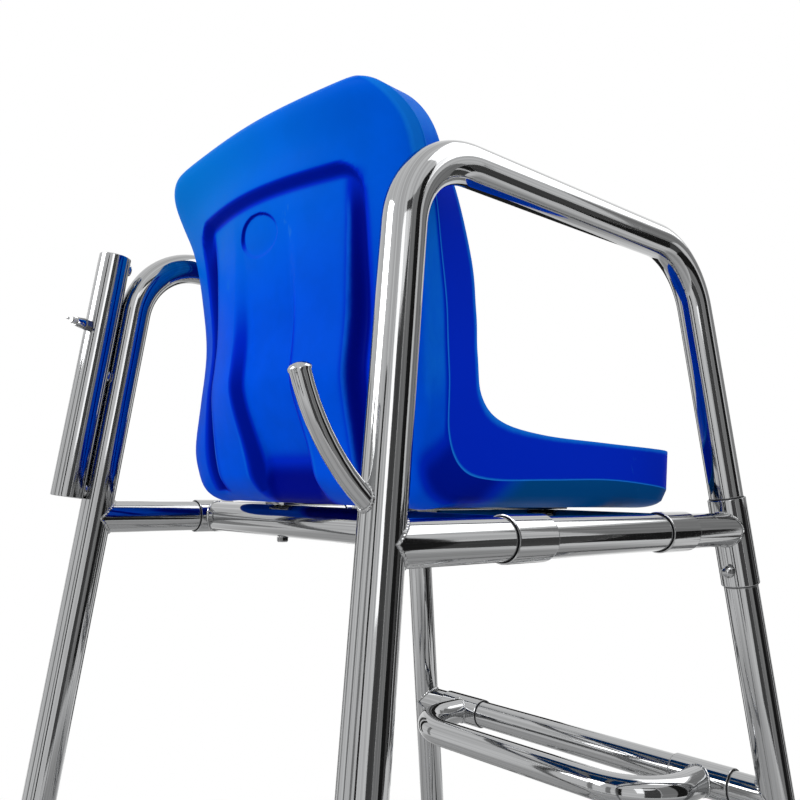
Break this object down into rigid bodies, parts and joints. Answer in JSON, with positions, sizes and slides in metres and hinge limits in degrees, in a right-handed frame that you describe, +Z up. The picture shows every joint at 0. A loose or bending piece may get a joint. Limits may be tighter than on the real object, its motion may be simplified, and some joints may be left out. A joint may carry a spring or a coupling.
{
  "type": "lifeguard chair",
  "caption": "Tall lifeguard chair of bent polished steel tube with a blue moulded seat, loop steps, an umbrella holder and a rescue hook.",
  "frame": {"origin": "on the floor, under the centre of the chair's bounding box", "axes": "+Z up, the sitter faces -Y, the sitter's left hand is at +X"},
  "size_m": [0.8036, 0.9983, 1.877],
  "materials": {
    "polished_steel": "mirror-polished stainless tube with fine draw lines, tinted weld beads and dark seam rings",
    "blue_plastic": "semi-gloss moulded plastic with faint scuffs",
    "black_rubber": "matte black, lightly worn"
  },
  "bodies": {
    "frame": {"seat_shell": "blue_plastic", "step_loop_1": "polished_steel", "step_loop_2": "polished_steel", "step_loop_3": "polished_steel", "step_loop_4": "polished_steel", "right_arm_tube": "polished_steel", "left_arm_tube": "polished_steel", "rear_seat_crossbar": "polished_steel", "front_seat_crossbar": "polished_steel", "left_front_tee": "polished_steel", "right_front_tee": "polished_steel", "rescue_hook": "polished_steel", "step_bar_1": "polished_steel", "step_bar_2": "polished_steel", "step_bar_3": "polished_steel", "step_bar_4": "polished_steel", "right_side_brace": "polished_steel", "left_side_brace": "polished_steel", "right_front_foot": "black_rubber", "left_front_foot": "black_rubber", "right_rear_foot": "black_rubber", "left_rear_foot": "black_rubber", "right_tee_bolt": "polished_steel", "left_tee_bolt": "polished_steel", "right_front_leg": "polished_steel", "left_front_leg": "polished_steel", "umbrella_holder": "polished_steel", "upper_rear_brace": "polished_steel", "left_side_rail": "polished_steel", "right_side_rail": "polished_steel", "clamp_boss": "polished_steel", "lower_rear_brace": "polished_steel", "right_seat_bar": "polished_steel", "left_seat_bar": "polished_steel", "seat_bolt_1": "polished_steel", "seat_bolt_2": "polished_steel", "seat_bolt_3": "polished_steel", "seat_bolt_4": "polished_steel", "step_bolt_1_right": "polished_steel", "step_bolt_1_left": "polished_steel", "step_bolt_2_right": "polished_steel", "step_bolt_2_left": "polished_steel", "step_bolt_3_right": "polished_steel", "step_bolt_3_left": "polished_steel", "step_bolt_4_right": "polished_steel", "step_bolt_4_left": "polished_steel"},
    "clamp_stud": {"clamp_stud": "polished_steel"},
    "clamp_wing": {"clamp_wing": "polished_steel"}
  },
  "joints": [
    {"name": "clamp_travel", "type": "slide", "parent": "frame", "child": "clamp_stud", "axis": [-0.348, 0.9328, 0.0936], "range_m": [0, 0.0075]},
    {"name": "clamp_turn", "type": "hinge", "parent": "clamp_stud", "child": "clamp_wing", "pos_m": [0.25668, 0.30592, 1.66964], "axis": [-0.348, 0.9328, 0.0936], "range_deg": [0, 2160]}
  ],
  "couplings": [
    {"joint": "clamp_travel", "follows": "clamp_turn", "m_per_rad": 0.00019894}
  ]
}
